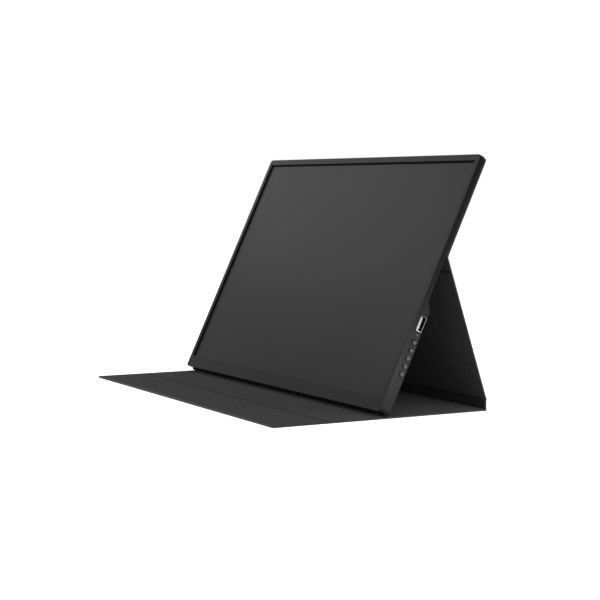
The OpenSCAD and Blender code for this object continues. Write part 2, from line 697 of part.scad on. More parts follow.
module video_tongue() color("#202022") on_monitor() at_wall(-1, left_y[2], board_z - video_h / 2) {
    w = video_w - 2 * shell_t;
    h = video_h - 2 * shell_t;
    translate([port_face + video_l - shell_t - 1.5, -w / 2, -h / 2]) cube([1.5, w, h]);
    translate([port_face + 0.8, -w / 2 + 0.8, -0.4]) cube([video_l - shell_t - 2, w - 1.6, 0.8]);
}

module audio_jack() color("#1c1c1e") on_monitor() at_wall(-1, jack_y, bay_mid_z) difference() {
    rod_x(jack_d / 2, port_face, port_face + jack_l);
    rod_x(jack_bore / 2, port_face - touch, port_face + jack_l - 1);
}

// ---- Buttons ----

plunger_reach = 0.8;           // how far a plunger reaches into its switch at rest
flange_t = 0.5;
flange_w = button_d + 1.6;
flange_h = 2 * min(switch_z - bay_z, thick_inner_z - switch_z) - 2 * slide_gap;

// A button n places down: a domed cap, a flange behind the wall and a plunger
module button(n) on_monitor() at_wall(1, button_y[n], switch_z) {
    translate([side_wall, 0, 0]) rotate([0, -90, 0]) rotate_extrude() polygon(concat(
        [[0, -touch], [button_d / 2, -touch]],
        [for (a = [0:15:90]) [button_d / 2 - cap_r * (1 - cos(a)), cap_edge - cap_r * (1 - sin(a))]],
        [[0, side_wall + button_proud]]));
    translate([side_wall + contact_gap, -flange_w / 2, -flange_h / 2]) cube([flange_t, flange_w, flange_h]);
    rod_x(plunger_d / 2, side_wall, switch_x + plunger_reach);
}
cap_r = 0.3;
cap_dome = 0.15;
cap_edge = side_wall + button_proud - cap_dome;

module power_button() color("#3c3c3e") button(0);
module menu_button() color("#3c3c3e") button(1);
module up_button() color("#3c3c3e") button(2);
module down_button() color("#3c3c3e") button(3);
module back_button() color("#3c3c3e") button(4);

front_bezel();
screen_foam();
lcd_cell();
diffuser_sheets();
light_guide();
backlight_bar();
panel_tray();
panel_board();
rear_housing();
foot_strip();
keeper_plates();
main_board();
board_parts();
side_board();
tact_switches();
link_flex();
panel_flex();
usb_a_shell();
usb_a_tongue();
status_light();
usb_c_shells();
usb_c_tongues();
video_shell();
video_tongue();
audio_jack();
housing_screws();
power_button();
menu_button();
up_button();
down_button();
back_button();
upper_skin();
upper_board();
upper_lining();
upper_magnets();
prop_skin();
prop_board();
prop_lining();
spine_skin();
spine_board();
spine_lining();
floor_skin();
floor_board();
floor_lining();
flap_skin();
flap_board();
flap_lining();
flap_magnets();
flap_crease();
spine_crease();
prop_crease();
fold_crease();
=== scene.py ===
# %% [markdown]
# # A portable monitor standing in its folding cover
# The imported model is the fixed frame: every board, screw and panel of it is already in place, in
# metres. This lesson dresses it. Hard parts keep their solids and get a finish, and edges that the eye
# looks for are rounded on a copy. The soft cover is made new, panel by panel, with a strip at each
# crease.

# %% Load the imported model
import json
import math

import bmesh
import bpy
from mathutils import Matrix, Vector


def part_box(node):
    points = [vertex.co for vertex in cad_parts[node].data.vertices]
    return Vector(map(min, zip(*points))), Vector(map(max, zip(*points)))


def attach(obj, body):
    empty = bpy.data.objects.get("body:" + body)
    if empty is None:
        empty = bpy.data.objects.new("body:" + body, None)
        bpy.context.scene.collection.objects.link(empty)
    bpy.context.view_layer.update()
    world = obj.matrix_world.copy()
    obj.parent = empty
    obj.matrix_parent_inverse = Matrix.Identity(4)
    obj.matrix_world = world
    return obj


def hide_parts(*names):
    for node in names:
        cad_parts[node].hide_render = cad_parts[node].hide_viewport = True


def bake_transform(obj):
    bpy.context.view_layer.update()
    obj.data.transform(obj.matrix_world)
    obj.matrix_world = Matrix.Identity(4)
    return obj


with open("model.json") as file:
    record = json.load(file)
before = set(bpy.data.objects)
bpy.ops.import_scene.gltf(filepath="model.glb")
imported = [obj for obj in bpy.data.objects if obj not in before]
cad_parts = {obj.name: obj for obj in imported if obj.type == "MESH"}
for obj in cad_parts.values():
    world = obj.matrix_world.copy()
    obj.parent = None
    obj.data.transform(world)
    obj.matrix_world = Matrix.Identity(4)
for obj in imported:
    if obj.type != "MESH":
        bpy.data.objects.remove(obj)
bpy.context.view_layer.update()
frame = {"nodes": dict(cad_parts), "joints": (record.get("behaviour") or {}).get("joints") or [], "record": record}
nodes = frame["nodes"]
MM = 0.001

# %% [markdown]
# ## Frames of the object's own parts
# The monitor leans back, and each panel of the cover lies at its own angle, so every piece is drawn
# flat, in millimetres, and then carried into place by a matrix. The angles are not typed in again:
# the hinge pins say where the panels meet, and the screen's own front face says how far it leans.

# %% Read pins and lean from the model
pins = {j["name"]: Vector(j["pos_m"]) for j in frame["joints"] if "pos_m" in j}


def tilted(origin, angle):
    """A frame at origin whose y axis rises from the rear direction by angle; it turns mm into metres."""
    return Matrix.Translation(origin) @ Matrix.Rotation(angle, 4, "X") @ Matrix.Scale(MM, 4)


screen_face = max(nodes["lcd_cell"].data.polygons, key=lambda f: -f.normal.y * f.area)
lean = math.atan2(-screen_face.normal.y, screen_face.normal.z)
up_slope = Vector((0, math.cos(lean), math.sin(lean)))
out_front = Vector((0, -math.sin(lean), math.cos(lean)))
bezel_points = [v.co for v in nodes["front_bezel"].data.vertices]
lowest = min(p.dot(up_slope) for p in bezel_points)
foremost = max(p.dot(out_front) for p in bezel_points)
fold, prop_foot = pins["screen_tilt"], pins["prop_recline"]
prop_rise = math.atan2(fold.z - prop_foot.z, fold.y - prop_foot.y)

on_monitor = tilted(up_slope * lowest + out_front * foremost, lean)
on_floor = tilted(pins["flap_fold"], 0)
on_spine = tilted(pins["spine_fold"], math.pi / 2)
on_prop = tilted(pins["prop_recline"], prop_rise)
on_upper = tilted(pins["screen_tilt"], lean)
print("the screen leans at", round(math.degrees(lean), 2), "degrees, the prop rises at",
      round(math.degrees(prop_rise), 2))

# %% [markdown]
# ## Helpers for finishes
# A finish is a small tree of shader nodes. Colours are written as the hex codes that a paint program
# shows; the renderer works in linear light, so one function converts them. One more function adds a
# node, gives it its settings and joins it to the nodes before it and the socket after it.

# %% Colours and shader nodes
def linear(code):
    """An sRGB hex colour such as '3a3a3c' as linear red, green, blue and alpha."""
    parts = [int(code[i:i + 2], 16) / 255 for i in (0, 2, 4)]
    return tuple(c / 12.92 if c <= 0.04045 else ((c + 0.055) / 1.055) ** 2.4 for c in parts) + (1.0,)


def add(tree, kind, values=None, links=None, into=None, stops=None, **properties):
    """Adds one node to a tree: its properties, the values of its sockets, the links into them, the
    colours of its ramp by position, and the link from its first output into a socket."""
    node = tree.nodes.new("ShaderNode" + kind)
    for name, value in properties.items():
        setattr(node, name, value)
    for name, value in (values or {}).items():
        node.inputs[name].default_value = value
    for name, socket in (links or {}).items():
        tree.links.new(socket, node.inputs[name])
    if stops:
        for stop, (position, code) in zip(node.color_ramp.elements, stops.items()):
            stop.position, stop.color = position, linear(code)
    if into:
        tree.links.new(node.outputs[0], into)
    return node


print("mid grey 808080 is", round(linear("808080")[0], 3), "in linear light")

# %% A new finish
def new_finish(name, **values):
    """A material with one Principled shader; values are its sockets, with _ for a space."""
    material = bpy.data.materials.new(name)
    material.use_nodes = True
    tree = material.node_tree
    tree.nodes.clear()
    shader = add(tree, "BsdfPrincipled", {k.replace("_", " "): v for k, v in values.items()})
    add(tree, "OutputMaterial", links={"Surface": shader.outputs["BSDF"]})
    material.diffuse_color = values.get("Base_Color", (0.05, 0.05, 0.05, 1))
    print("finish:", name)
    return material, tree, shader


def span(low, high, start=0.3, end=0.7):
    """Settings that turn a pattern's range from start to end into the range from low to high."""
    return {"From Min": start, "From Max": end, "To Min": low, "To Max": high}


PER_M = 1 / MM      # a texture's scale for a pattern of one repeat a millimetre, on object coordinates

# %% [markdown]
# ## Moulded plastic
# The bezel, the rear housing and the buttons are injection-moulded ABS. The mould's cavity is spark
# eroded, which leaves pits of about a tenth of a millimetre: they break up the shine into a soft,
# even grey. The pits are drawn as noise on the object's own coordinates, a few times coarser than
# life so that they show. A slow second noise varies colour and shine, as flow in the mould does.

# %% Plastics
FLOW_MM = 45            # size of the patches that flow in the mould leaves


def moulded(name, colour, shade, roughness, level, grain_mm=0.4, depth_mm=0.05, ior=1.53):
    """Moulded plastic: colour and shade mottle it, and grain_mm is the size of the mould's pits."""
    material, tree, shader = new_finish(name, IOR=ior, Specular_IOR_Level=level)
    place = add(tree, "TexCoord").outputs["Object"]
    pits = add(tree, "TexNoise", {"Scale": PER_M / grain_mm, "Detail": 2.0}, {"Vector": place})
    flow = add(tree, "TexNoise", {"Scale": PER_M / FLOW_MM, "Detail": 3.0}, {"Vector": place})
    add(tree, "ValToRGB", None, {"Fac": flow.outputs["Fac"]}, shader.inputs["Base Color"],
        {0.3: colour, 0.7: shade})
    add(tree, "MapRange", span(roughness - 0.03, roughness + 0.03), {"Value": flow.outputs["Fac"]},
        shader.inputs["Roughness"])
    add(tree, "Bump", {"Strength": 0.35, "Distance": depth_mm * MM}, {"Height": pits.outputs["Fac"]},
        shader.inputs["Normal"])
    return material


abs_bezel = moulded("ABS_moulded_fine_satin", "121213", "151516", 0.33, 0.045, 0.35, 0.02)
abs_housing = moulded("ABS_moulded_spark_eroded", "0d0d0e", "101011", 0.48, 0.075, 0.5, 0.06)
port_plastic = moulded("LCP_port_tongue_grey", "7e7e7c", "8a8a88", 0.4, 0.3, 0.3, 0.02)
dark_plastic = moulded("LCP_port_tongue_black", "101011", "141415", 0.4, 0.4, 0.3, 0.02)
chip_epoxy = moulded("epoxy_moulding_compound", "19191b", "202022", 0.6, 0.35, 0.25, 0.04)
# Painted shade in part: the rubber strip under the monitor is a real part, drawn darker than rubber for the shade
# under the monitor
foot_rubber = moulded("silicone_rubber_strip_painted_shade", "060606", "0a0a0a", 0.75, 0.1, 0.5, 0.03, 1.41)
# Painted shade in part: the foam strip round the screen is a real part; its near black also stands for the shadow
# in the step between bezel and screen
gasket_foam = moulded("polyurethane_foam_black_painted_shade", "050505", "0b0b0b", 0.9, 0.05, 0.6, 0.08, 1.5)
light_pipe = moulded("acrylic_light_pipe", "2c2c2e", "343436", 0.3, 0.2, 1.5, 0.01, 1.49)
flat_cable = moulded("polyimide_flat_cable", "8a5a1c", "9c6a26", 0.3, 0.5, 2.0, 0.01, 1.7)

# %% [markdown]
# ## Buttons
# Each button is a black cap with a lighter grey face. Its skirt, nearer the wall, is painted near
# black: painted shade, for the shadow in the gap between cap and hole. The face is the part of the cap
# that stands out of the wall, so the distance along the object's width tells it from the skirt.

# %% Button caps
CAP_FACE_MM = 0.2       # how deep the lighter face reaches round the cap's edge
CAP_GRAIN_MM = 0.3
button_cap_painted_shade, tree, shader = new_finish("ABS_button_cap_with_painted_shade", IOR=1.53, Specular_IOR_Level=0.12)
place = add(tree, "TexCoord").outputs["Object"]
out_of_wall = add(tree, "SeparateXYZ", links={"Vector": place}).outputs["X"]
face_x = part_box("power_button")[1][0]
# Painted shade: the skirt, nearer the wall than the face, is near black (050505), for the shadow in the gap round
# the cap
add(tree, "ValToRGB", None, {"Fac": out_of_wall}, shader.inputs["Base Color"],
    {face_x - 2 * CAP_FACE_MM * MM: "050505", face_x - CAP_FACE_MM * MM: "3a3a3b"})
fine_pits = add(tree, "TexNoise", {"Scale": PER_M / CAP_GRAIN_MM, "Detail": 2.0}, {"Vector": place})
add(tree, "MapRange", span(0.34, 0.42), {"Value": fine_pits.outputs["Fac"]}, shader.inputs["Roughness"])
add(tree, "Bump", {"Strength": 0.35, "Distance": 0.02 * MM}, {"Height": fine_pits.outputs["Fac"]},
    shader.inputs["Normal"])

# %% [markdown]
# ## Screen
# Switched off, a liquid crystal cell is black glass behind a polariser. The polariser's hard coat is
# etched so that it scatters reflections, and thin enough to reflect less than bare glass: the eye sees
# a deep, even charcoal that lightens where it looks along the surface.

# %% Anti-glare film
ETCH_MM = 0.4           # really far finer, drawn coarser so that it shows
HAZE_MM = 70            # size of the slow unevenness of the hard coat
screen_film, tree, shader = new_finish("polariser_anti_glare_film", IOR=1.49, Specular_IOR_Level=0.055)
place = add(tree, "TexCoord").outputs["Object"]
etch = add(tree, "TexNoise", {"Scale": PER_M / ETCH_MM, "Detail": 2.0}, {"Vector": place})
haze = add(tree, "TexNoise", {"Scale": PER_M / HAZE_MM, "Detail": 2.0}, {"Vector": place})
add(tree, "ValToRGB", None, {"Fac": haze.outputs["Fac"]}, shader.inputs["Base Color"],
    {0.3: "1a1a1b", 0.7: "1d1d1e"})
add(tree, "MapRange", span(0.31, 0.35), {"Value": haze.outputs["Fac"]}, shader.inputs["Roughness"])
add(tree, "Bump", {"Strength": 0.15, "Distance": 0.02 * MM}, {"Height": etch.outputs["Fac"]},
    shader.inputs["Normal"])

# %% [markdown]
# ## Diffuser and light guide
# Behind the cell lie matt white sheets of PET and a plate of clear acrylic. White dots are printed on
# the plate's back to turn the light forwards, so it is clear between the dots and rough on them. A
# Voronoi pattern gives the dots.

# %% Diffuser sheets and light guide
DOT_MM = 1.2            # distance between the printed dots
diffuser_film = moulded("PET_diffuser_sheet", "e6e6e2", "ecece8", 0.55, 0.4, 0.3, 0.02, 1.57)
clear_acrylic, tree, shader = new_finish(
    "acrylic_light_guide", Base_Color=linear("eef4f4"), IOR=1.49, Transmission_Weight=0.85)
place = add(tree, "TexCoord").outputs["Object"]
dots = add(tree, "TexVoronoi", {"Scale": PER_M / DOT_MM}, {"Vector": place})
add(tree, "MapRange", span(0.6, 0.06, 0.2, 0.35), {"Value": dots.outputs["Distance"]},
    shader.inputs["Roughness"])

# %% [markdown]
# ## Metals
# The port shells are stamped from nickel-plated steel, the tray and keeper plates are rolled steel,
# and the magnets are nickel plated. Rolling leaves faint lines along the sheet, so the noise is drawn
# out along the width. Full metallic, with the colour of nickel or steel; the port's steel is drawn a
# darker grey than nickel, as painted shade, and the inside of its shell near black, as painted shade.

# %% Metals
def rolled(name, colour, shade, roughness, line_mm=0.5, stretch=25):
    """Rolled or plated metal whose faint lines run along the object's width."""
    material, tree, shader = new_finish(name, Metallic=1.0)
    place = add(tree, "TexCoord").outputs["Object"]
    drawn = add(tree, "Mapping", {"Scale": (1 / stretch, 1, 1)}, {"Vector": place})
    lines = add(tree, "TexNoise", {"Scale": PER_M / line_mm, "Detail": 3.0},
                {"Vector": drawn.outputs["Vector"]}).outputs["Fac"]
    add(tree, "ValToRGB", None, {"Fac": lines}, shader.inputs["Base Color"], {0.3: colour, 0.7: shade})
    add(tree, "MapRange", span(roughness - 0.05, roughness + 0.07), {"Value": lines},
        shader.inputs["Roughness"])
    add(tree, "Bump", {"Strength": 0.2, "Distance": 0.01 * MM}, {"Height": lines},
        shader.inputs["Normal"])
    return material


# Painted shade: the port's nickel-plated steel gets a darker grey than nickel, for the shade the port lies in
port_steel = rolled("steel_stamped_nickel_plated_painted_shade", "6c6c6c", "7a7a7a", 0.32, 0.3, 4)
tray_steel = rolled("steel_rolled_galvanised", "a9abad", "bcbec0", 0.36)
screw_steel = rolled("steel_black_oxide", "1c1c1d", "262627", 0.42, 0.2, 2)
magnet_nickel = rolled("neodymium_magnet_nickel_plated", "b9b7b2", "c9c7c2", 0.2, 0.8, 3)
contact_gold = rolled("contact_pale_gold_flash", "cfc2a0", "dccfae", 0.25, 0.2, 2)
# Painted shade: the inside walls of the port's shell are near black, for the dark depth of the port
shell_inside_painted_shade = rolled("steel_inside_of_shell_painted_shade", "161616", "202020", 0.5, 0.3, 4)

# %% [markdown]
# ## Circuit boards
# A board is glass-epoxy laminate under green solder mask. Copper tracks show through it as slightly
# lighter lines, and blocks of them as lighter patches. A Voronoi pattern of square cells stands for
# the blocks of tracks, and waves for the tracks themselves.

# %% Solder mask
BLOCK_MM = 9            # size of a block of tracks
TRACKS_MM = 6           # distance between bundles of tracks
solder_mask, tree, shader = new_finish("FR4_green_solder_mask", IOR=1.5, Roughness=0.32)
place = add(tree, "TexCoord").outputs["Object"]
blocks = add(tree, "TexVoronoi", {"Scale": PER_M / BLOCK_MM, "Randomness": 0.8}, {"Vector": place},
             distance="CHEBYCHEV")
tracks = add(tree, "TexWave", {"Scale": PER_M / TRACKS_MM, "Distortion": 3.0, "Detail": 1.0},
             {"Vector": place})
mixed = add(tree, "Math", links={0: blocks.outputs["Distance"], 1: tracks.outputs["Fac"]},
            operation="MULTIPLY").outputs[0]
add(tree, "ValToRGB", None, {"Fac": mixed}, shader.inputs["Base Color"],
    {0.1: "0f3a1f", 0.5: "2f6b3c"})
add(tree, "Bump", {"Strength": 0.3, "Distance": 0.03 * MM}, {"Height": mixed}, shader.inputs["Normal"])

# %% [markdown]
# ## Leather skin of the cover
# The cover's outside is polyurethane leather, pressed with a fine pebble grain of about 0.8 mm and
# glued round a stiff board. It is matt, nearly black, and slightly lighter on the crowns of the grain.
# A Voronoi pattern gives the pebbles and a noise breaks up their outlines. The grain follows the skin
# round the panel's edges, so it is drawn on the piece's own map, in millimetres.

# %% Polyurethane leather
PEBBLE_MM = 2.0         # really about 0.8 mm, drawn coarser so that it shows from arm's length
WEAR_MM = 40            # size of the patches that are more and less matt
skin_leather, tree, shader = new_finish(
    "polyurethane_leather_pebbled", IOR=1.5, Specular_IOR_Level=0.2, Sheen_Weight=0.03,
    Sheen_Roughness=0.5)
place = add(tree, "UVMap", uv_map="surface_mm").outputs["UV"]
wander = add(tree, "TexNoise", {"Scale": 0.9 / PEBBLE_MM, "Detail": 2.0}, {"Vector": place})
nudged = add(tree, "MixRGB", {"Fac": 0.18}, {"Color1": place, "Color2": wander.outputs["Color"]})
pebbles = add(tree, "TexVoronoi", {"Scale": 1 / PEBBLE_MM}, {"Vector": nudged.outputs[0]},
              feature="SMOOTH_F1").outputs["Distance"]
wear = add(tree, "TexNoise", {"Scale": 1 / WEAR_MM, "Detail": 3.0}, {"Vector": place})
add(tree, "ValToRGB", None, {"Fac": pebbles}, shader.inputs["Base Color"],
    {0.1: "1e1e1f", 0.7: "131314"})
add(tree, "MapRange", span(0.56, 0.6), {"Value": wear.outputs["Fac"]}, shader.inputs["Roughness"])
crowns = add(tree, "Math", {0: 1.0}, {1: pebbles}, operation="SUBTRACT")
add(tree, "Bump", {"Strength": 0.6, "Distance": 0.3 * MM}, {"Height": crowns.outputs[0]},
    shader.inputs["Normal"])

# %% [markdown]
# ## Woven lining of the cover
# Inside, the panels are lined with a close plain weave of dark polyester, which doesn't scratch the
# screen. Its threads are about 0.4 mm apart; they are drawn at 1.3 mm so that the weave just shows.
# Two rows of waves, one each way, rise and fall in turn, as warp and weft do, and a noise stands for
# slubs, where the yarn is thicker or thinner. A soft sheen is the fuzz of the threads. Where the hot
# press has made a crease, the threads lie flat; the darker copy of the weave there, on the spine and
# along the prop's pressed line is painted shade, for the shade that falls in grooves and inside the
# stand.

# %% Woven polyester
THREAD_MM = 1.3         # really about 0.4 mm, drawn coarser so that it shows
SLUB_MM = 3.5           # size of the thicker and thinner stretches of yarn


def woven(name, dark, light):
    """Plain weave between two colours, which rises and falls with its threads."""
    material, tree, shader = new_finish(name, Roughness=0.9, IOR=1.5, Specular_IOR_Level=0.02,
                                        Sheen_Weight=0.02, Sheen_Roughness=0.5)
    place = add(tree, "UVMap", uv_map="surface_mm").outputs["UV"]
    across = add(tree, "SeparateXYZ", links={"Vector": place})
    waves = []
    for axis in ("X", "Y"):
        turned = add(tree, "Math", {1: math.pi / THREAD_MM}, {0: across.outputs[axis]},
                     operation="MULTIPLY")
        waves.append(add(tree, "Math", links={0: turned.outputs[0]}, operation="SINE").outputs[0])
    weave = add(tree, "Math", links={0: waves[0], 1: waves[1]}, operation="MULTIPLY").outputs[0]
    slubs = add(tree, "TexNoise", {"Scale": 1 / SLUB_MM, "Detail": 4.0, "Roughness": 0.7},
                {"Vector": place}).outputs["Fac"]
    height = add(tree, "Math", {1: 0.25}, {0: weave, 2: slubs}, operation="MULTIPLY_ADD").outputs[0]
    add(tree, "ValToRGB", None, {"Fac": height}, shader.inputs["Base Color"],
        {0.15: dark, 0.85: light})
    add(tree, "Bump", {"Strength": 0.6, "Distance": 0.15 * MM}, {"Height": height},
        shader.inputs["Normal"])
    return material


lining_weave = woven("polyester_plain_weave", "262627", "484849")
# Painted shade: a darker copy of the weave, for creases, the spine and the prop's pressed line, where shade falls
weave_painted_shade = woven("polyester_weave_painted_shade", "19191a", "303031")

# %% [markdown]
# ## Grey board
# The panels are stiffened with grey board, pressed waste paper. Only its cut edges could ever show:
# flecked, fibrous and matt.

# %% Grey board
FIBRE_MM = 0.9          # size of the flecks of pulp
grey_board, tree, shader = new_finish("grey_board_pressed_paper", Roughness=0.95,
                                      Specular_IOR_Level=0.1)
place = add(tree, "TexCoord").outputs["Object"]
fibres = add(tree, "TexNoise", {"Scale": PER_M / FIBRE_MM, "Detail": 4.0, "Distortion": 1.5},
             {"Vector": place}).outputs["Fac"]
add(tree, "ValToRGB", None, {"Fac": fibres}, shader.inputs["Base Color"],
    {0.3: "8d857a", 0.7: "a79f93"})
add(tree, "Bump", {"Strength": 0.4, "Distance": 0.05 * MM}, {"Height": fibres}, shader.inputs["Normal"])

# %% [markdown]
# ## Making pieces
# Each new piece is a mesh drawn flat in millimetres by bmesh operators, carried into place, and given
# its finishes and its body. The finished object stands at the origin, unturned. Measuring the solid
# that a piece stands for, in the same flat frame, gives the piece exactly the solid's size.

# %% Measure a node
NEAR = 1e-6             # points closer than this, in the mesh's own units, count as one
ABOUT = 1e-4            # how far a place may be off, in mm, after turning and cutting


def extent(name, place):
    """Lowest and highest corner of a node, in mm, in a piece's own frame."""
    back = place.inverted()
    points = [back @ v.co for v in nodes[name].data.vertices]
    return [Vector(pick(p[i] for p in points) for i in range(3)) for pick in (min, max)]


print("the housing is", round(2 * extent("rear_housing", on_monitor)[1].x, 1), "mm wide")

# %% Boards
def only_verts(made):
    """The vertices among what an operator made."""
    return [g for g in made if isinstance(g, bmesh.types.BMVert)]


def extrude(bm, face, move, closed=False):
    """Extrudes a face by a vector and returns the moved vertices. On a closed mesh the face that stays
    behind would be a wall across the inside, so it is deleted."""
    moved = only_verts(bmesh.ops.extrude_face_region(bm, geom=[face])["geom"])
    if closed:
        bmesh.ops.delete(bm, geom=[face], context="FACES_ONLY")
    bmesh.ops.translate(bm, vec=move, verts=moved)
    return moved


def slab(bm, low, high, radius=0.0, rounded=()):
    """A flat board between two corners; rounded names the ends ("low", "high") with round corners."""
    verts = bmesh.ops.create_grid(bm, x_segments=1, y_segments=1, size=1)["verts"]
    middle, half = (low + high) / 2, (high - low) / 2
    bmesh.ops.scale(bm, vec=(half.x, half.y, 1), verts=verts)
    bmesh.ops.translate(bm, vec=(middle.x, middle.y, low.z), verts=verts)
    ends = {"low": low.y, "high": high.y}
    corners = [v for v in verts if any(abs(v.co.y - ends[e]) < NEAR for e in rounded)]
    face = verts[0].link_faces[0]
    if corners and radius:
        bevel = bmesh.ops.bevel(bm, geom=corners, offset=radius, segments=8, profile=0.5,
                                affect="VERTICES", material=-1)
        face = bevel["verts"][0].link_faces[0]
    extrude(bm, face, (0, 0, high.z - low.z))
    bmesh.ops.recalc_face_normals(bm, faces=bm.faces)

# %% Rounded edges, cuts and the piece's own map
def round_edges(bm, edges, radius, segments=3):
    """Rounds the edges of a mesh."""
    bmesh.ops.bevel(bm, geom=edges, offset=radius, segments=segments, profile=0.5, affect="EDGES",
                    material=-1, clamp_overlap=True)


def cut_by_plane(bm, point, normal, clear_outer=False):
    """Cuts a mesh by a plane and returns the edges that lie on the cut."""
    cut = bmesh.ops.bisect_plane(bm, geom=bm.verts[:] + bm.edges[:] + bm.faces[:], dist=NEAR,
                                 plane_co=point, plane_no=normal, clear_outer=clear_outer)
    return [g for g in cut["geom_cut"] if isinstance(g, bmesh.types.BMEdge)]


def cut_end(bm, y, side):
    """Cuts the mesh off at y, keeps what lies on the inner side, and closes the cut."""
    loop = cut_by_plane(bm, (0, y, 0), (0, side, 0), clear_outer=True)
    bmesh.ops.contextual_create(bm, geom=loop)


def map_surface(bm):
    """Lays the mesh's map flat on each side of it, in millimetres."""
    layer = bm.loops.layers.uv.new("surface_mm")
    for face in bm.faces:
        faces_sideways = abs(face.normal.x) > 0.8
        for loop in face.loops:
            x, y, z = loop.vert.co
            loop[layer].uv = (y, z) if faces_sideways else (x, y + z)

# %% From mesh to finished piece
SMOOTH_BELOW = math.radians(32)     # edges that turn less than this are shaded as one surface


def new_object(name, data):
    """An object in the scene, at the origin."""
    made = bpy.data.objects.new(name, data)
    bpy.context.scene.collection.objects.link(made)
    return made


def piece(name, bm, place, finishes, body=None, replaces=()):
    """Carries a mesh into place, in metres, as a piece with its finishes and body."""
    bmesh.ops.recalc_face_normals(bm, faces=bm.faces)
    bm.transform(place)
    mesh = bpy.data.meshes.new(name)
    bm.to_mesh(mesh)
    bm.free()
    mesh.shade_smooth()
    mesh.set_sharp_from_angle(angle=SMOOTH_BELOW)
    for finish in finishes:
        mesh.materials.append(finish)
    made = new_object(name, mesh)
    made.modifiers.new("even_shading", "WEIGHTED_NORMAL").keep_sharp = True
    if body:
        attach(made, body)
    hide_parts(*replaces)
    print(name, "has", len(mesh.polygons), "faces")
    return made

# %% [markdown]
# ## Cover panels
# The skin of a panel is one sheet, glued to the outside of the board and turned in over its free
# edges by a few millimetres; the lining then covers the board and leaves a narrow rim of skin. So the
# skin is drawn as a shallow tray with soft edges, cut off square at each crease, and the lining as a
# thin sheet in it with a pressed edge. Where the prop's board ends, a line is pressed into its lining.

# %% Sizes of skins and linings
SKIN_T = 0.35           # thickness of the leather, mm
LINING_T = 0.35
RIM_W = 1.0             # width of the turned-in rim
EDGE_R = 0.48           # rounding of the panel's edges
LINING_R = 0.15         # rounding of the lining's pressed edge
COVER_R = 3.0           # corner radius of the cover
LINING_GAP = 0.05       # groove between rim and lining
LINING_SUNK = 0.02      # how far the lining lies below the rim
PAST = 3.0              # how far a panel is drawn past a crease before it is cut there


def drawn_past(low, high, free):
    """The corners of a panel, moved past its creases; a free end stays where it is."""
    low, high = low.copy(), high.copy()
    low.y -= 0 if "low" in free else PAST
    high.y += 0 if "high" in free else PAST
    return low, high


def cut_creases(bm, low, high, free):
    """Cuts a panel off at its creases."""
    if "low" not in free:
        cut_end(bm, low.y, -1)
    if "high" not in free:
        cut_end(bm, high.y, 1)

# %% Skin
def leather_tray(low, high, free):
    """A panel's skin: a board with soft edges, pushed in from the lining's side."""
    bm = bmesh.new()
    slab(bm, *drawn_past(low, high, free), COVER_R, free)
    rims = [e for e in bm.edges if abs(e.verts[0].co.z - e.verts[1].co.z) < NEAR]
    round_edges(bm, rims, EDGE_R, 4)
    top = max(bm.faces, key=lambda f: f.calc_area() * (f.calc_center_median().z > 0))
    bmesh.ops.inset_region(bm, faces=[top], thickness=RIM_W - EDGE_R, use_even_offset=True)
    extrude(bm, top, (0, 0, low.z - high.z + SKIN_T), closed=True)
    cut_creases(bm, low, high, free)
    map_surface(bm)
    return bm

# %% Lining
PRESSED_DEPTH = 0.2     # depth of a pressed line
PRESSED_HALF_W = 0.9    # half its width


def press_line(bm, y, top):
    """Presses a line into a lining at y: a shallow valley across it, in the second finish, the darker weave, which
    is painted shade.
    """
    for at in (y - PRESSED_HALF_W, y, y + PRESSED_HALF_W):
        cut_by_plane(bm, (0, at, 0), (0, 1, 0))
    for v in bm.verts:
        if abs(v.co.y - y) < ABOUT and v.co.z > top - ABOUT:
            v.co.z -= PRESSED_DEPTH
    for face in bm.faces:
        face.material_index = int(abs(face.calc_center_median().y - y) < PRESSED_HALF_W)


def lining_sheet(low, high, free, pressed):
    """A panel's lining, which lies in the tray of the skin."""
    step = Vector((RIM_W + LINING_GAP, RIM_W + LINING_GAP, 0))
    inner_low, inner_high = drawn_past(low + step, high - step, free)
    inner_low.z, inner_high.z = high.z - LINING_T, high.z - LINING_SUNK
    bm = bmesh.new()
    slab(bm, inner_low, inner_high, COVER_R - RIM_W, free)
    upper = [e for e in bm.edges if min(v.co.z for v in e.verts) > inner_high.z - NEAR]
    round_edges(bm, upper, LINING_R, 2)
    cut_creases(bm, low, high, free)
    if pressed:
        press_line(bm, high.y - pressed, inner_high.z)
    map_surface(bm)
    return bm

# %% The five panels
PROP_BOARD_END = 12     # how far below the fold the prop's board ends


def cover_panel(name, place, free, body, pressed=None, weave=lining_weave):
    """The skin and the lining of one panel of the cover; pressed is where a line crosses the lining."""
    low, high = extent(name + "_skin", place)
    piece(name + "_leather", leather_tray(low, high, free), place, [skin_leather], body,
          [name + "_skin"])
    piece(name + "_cloth", lining_sheet(low, high, free, pressed), place,
          [weave, weave_painted_shade] if pressed else [weave], body, [name + "_lining"])
    print(name, "panel is", round(high.y - low.y, 1), "mm long and", round(high.z - low.z, 2), "thick")


cover_panel("flap", on_floor, ("low",), "flap")
cover_panel("floor", on_floor, (), "floor")
# The spine's lining is the darker weave: painted shade, for the shade on the spine inside the stand
cover_panel("spine", on_spine, (), "spine", weave=weave_painted_shade)
cover_panel("prop", on_prop, (), "prop", pressed=PROP_BOARD_END)
cover_panel("upper", on_upper, ("high",), "monitor")

# %% [markdown]
# ## Creases
# Between two panels there is no board, only skin and lining glued together and pressed to a groove,
# so the cover bends there and nowhere else. Each crease is a strip drawn as its side view, a thin
# corner between the ends of both panels, pulled out along the width and rounded. At one end it lines
# up with one panel, at the other end with the other.

# %% Side view of a crease
GROOVE = 0.3            # depth of the groove of a crease that lies flat
GROOVE_HALF_W = 0.6


